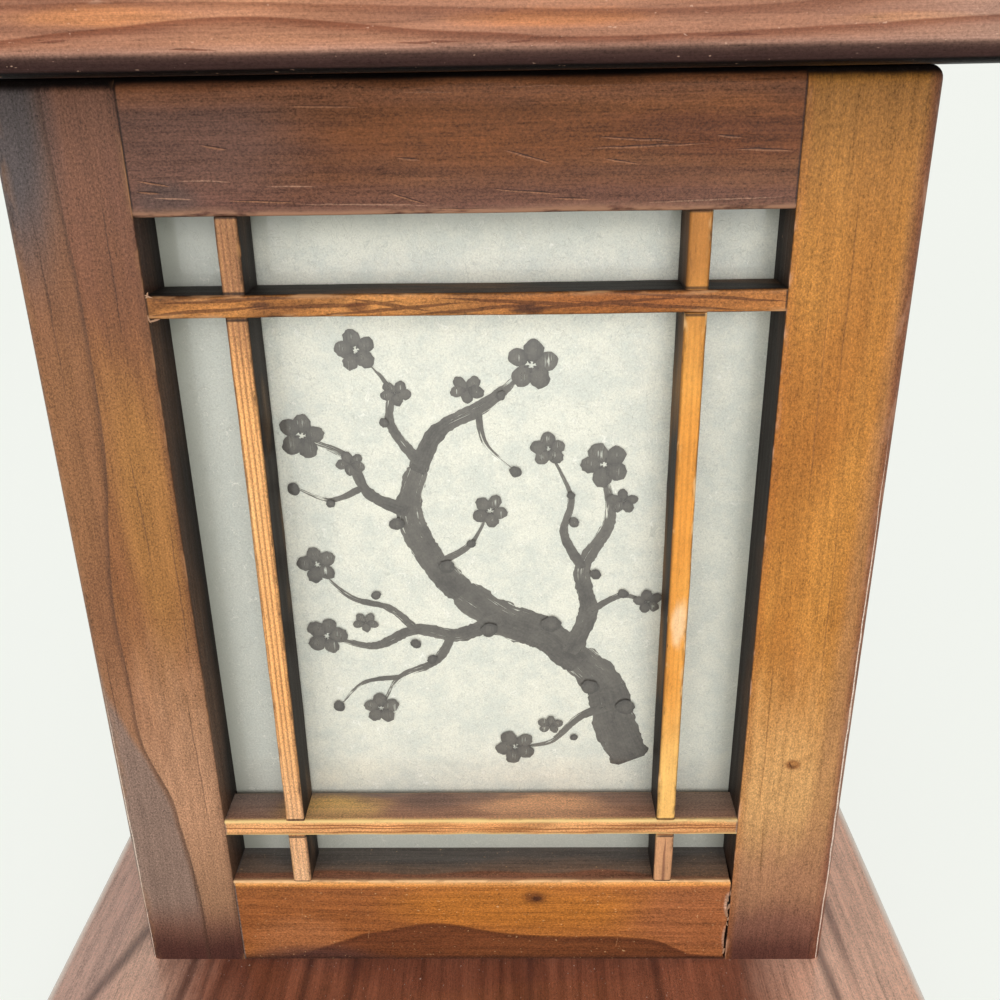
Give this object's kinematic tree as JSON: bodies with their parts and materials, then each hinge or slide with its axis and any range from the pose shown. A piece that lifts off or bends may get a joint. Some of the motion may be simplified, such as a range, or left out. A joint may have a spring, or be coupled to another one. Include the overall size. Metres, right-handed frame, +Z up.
{
  "type": "andon floor lamp",
  "caption": "Square wooden floor lantern: posts and rails with a lattice over paper panels, a base board, a lift-off roof board and a screw-in bulb inside.",
  "frame": {"origin": "centre of the base board's underside, on the floor", "axes": "+Z up, the lamp's front towards -Y, +X to the right seen from the front"},
  "size_m": [0.336, 0.336, 0.333],
  "materials": {
    "post_wood": "stained softwood, satin varnish",
    "rail_wood": "dark stained softwood, satin varnish",
    "stick_wood": "light stained softwood, satin varnish",
    "board_wood": "red-brown stained softwood, gloss varnish",
    "batten_wood": "dark stained softwood, matt",
    "washi": "laminated fibre paper, translucent, glossy",
    "screw_steel": "zinc plated",
    "porcelain": "white glaze",
    "socket_brass": "plain brass",
    "cap_nickel": "nickel plated",
    "bulb_plastic": "white",
    "led_board": "white coated",
    "opal_globe": "frosted opal",
    "grommet_rubber": "black"
  },
  "bodies": {
    "lamp_body": {"base_board": "board_wood", "post_screws": "screw_steel", "front_left_post": "post_wood", "front_right_post": "post_wood", "back_right_post": "post_wood", "back_left_post": "post_wood", "front_bottom_rail": "rail_wood", "front_top_rail": "rail_wood", "front_upper_bar": "stick_wood", "front_lower_bar": "stick_wood", "front_left_upright": "stick_wood", "front_right_upright": "stick_wood", "front_paper_panel": "washi", "front_panel_battens": "batten_wood", "right_bottom_rail": "rail_wood", "right_top_rail": "rail_wood", "right_upper_bar": "stick_wood", "right_lower_bar": "stick_wood", "right_left_upright": "stick_wood", "right_right_upright": "stick_wood", "right_paper_panel": "washi", "right_panel_battens": "batten_wood", "back_bottom_rail": "rail_wood", "back_top_rail": "rail_wood", "back_upper_bar": "stick_wood", "back_lower_bar": "stick_wood", "back_left_upright": "stick_wood", "back_right_upright": "stick_wood", "back_paper_panel": "washi", "back_panel_battens": "batten_wood", "left_bottom_rail": "rail_wood", "left_top_rail": "rail_wood", "left_upper_bar": "stick_wood", "left_lower_bar": "stick_wood", "left_left_upright": "stick_wood", "left_right_upright": "stick_wood", "left_paper_panel": "washi", "left_panel_battens": "batten_wood", "cord_grommet": "grommet_rubber", "holder_body": "porcelain", "holder_screws": "screw_steel", "socket_shell": "socket_brass", "centre_contact": "socket_brass"},
    "roof": {"roof_board": "board_wood", "front_roof_batten": "batten_wood", "back_roof_batten": "batten_wood", "roof_batten_screws": "screw_steel"},
    "bulb_tip": {"bulb_tip": "cap_nickel"},
    "bulb": {"bulb_cap": "cap_nickel", "bulb_shell": "bulb_plastic", "led_board": "led_board", "bulb_globe": "opal_globe"}
  },
  "joints": [
    {"name": "roof_lift", "type": "slide", "parent": "lamp_body", "child": "roof", "axis": [0, 0, 1], "range_m": [0, 0.15]},
    {"name": "bulb_rise", "type": "slide", "parent": "lamp_body", "child": "bulb_tip", "axis": [0, 0, 1], "range_m": [0, 0.01452]},
    {"name": "bulb_turn", "type": "hinge", "parent": "bulb_tip", "child": "bulb", "pos_m": [0, 0, 0.05], "axis": [0, 0, 1], "range_deg": [0, 1440]}
  ],
  "couplings": [
    {"joint": "bulb_rise", "follows": "bulb_turn", "m_per_rad": 0.00057757}
  ]
}
